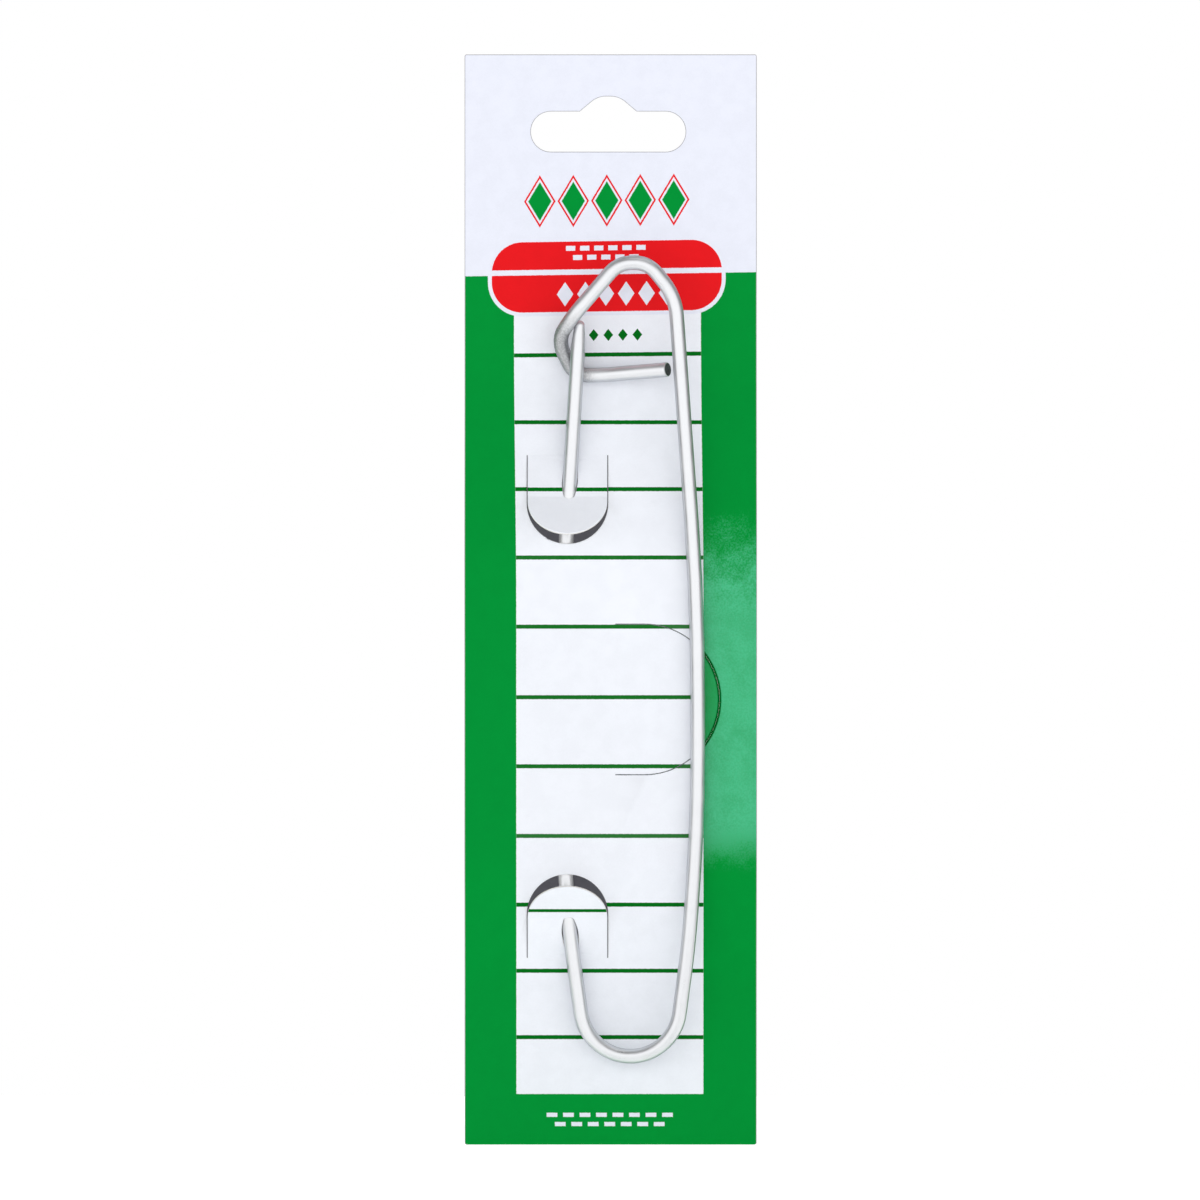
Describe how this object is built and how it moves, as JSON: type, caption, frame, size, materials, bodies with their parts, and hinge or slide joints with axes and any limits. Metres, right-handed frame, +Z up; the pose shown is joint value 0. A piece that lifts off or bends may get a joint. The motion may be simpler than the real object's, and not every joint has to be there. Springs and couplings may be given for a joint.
{
  "type": "stitch holder",
  "caption": "Safety-pin shaped wire stitch holder with a catch hook at the top, threaded through two raised tongues of a tall printed hang card with a euro slot.",
  "frame": {"origin": "middle of the card's hang slot, at the middle of the board's thickness", "axes": "+X to the right as the printed side is read, +Y away from the reader, out of the card's back, +Z up along the card"},
  "size_m": [0.0602, 0.0114, 0.2247],
  "materials": {
    "wire": "satin, pearl grey",
    "board": "coated card, printed green, white and red on the front, plain white core and back"
  },
  "bodies": {
    "card": {"display_card": "board", "upper_tongue": "board", "lower_tongue": "board"},
    "flap": {"side_flap": "board"},
    "pin": {"pin_arm": "wire"},
    "frame": {"spring_bend": "wire", "spine": "wire", "catch_hook": "wire"}
  },
  "joints": [
    {"name": "flap_fold", "type": "hinge", "parent": "card", "child": "flap", "pos_m": [0.0014, -0.00585, -0.117], "axis": [0, -0.0222, 0.9998], "range_deg": [0, 90], "stiffness_Nm_per_rad": 0.0012},
    {"name": "holder_slide", "type": "slide", "parent": "card", "child": "pin", "axis": [0, -0.022, 0.9998], "range_m": [-0.002, 0.0015]},
    {"name": "spring_squeeze", "type": "hinge", "parent": "pin", "child": "frame", "pos_m": [0.0045, -0.00456, -0.1801], "axis": [0, -1, 0], "range_deg": [0, 2.2], "stiffness_Nm_per_rad": 2.8, "springref_deg": -2.86, "deforming": ["spring_bend"]}
  ]
}
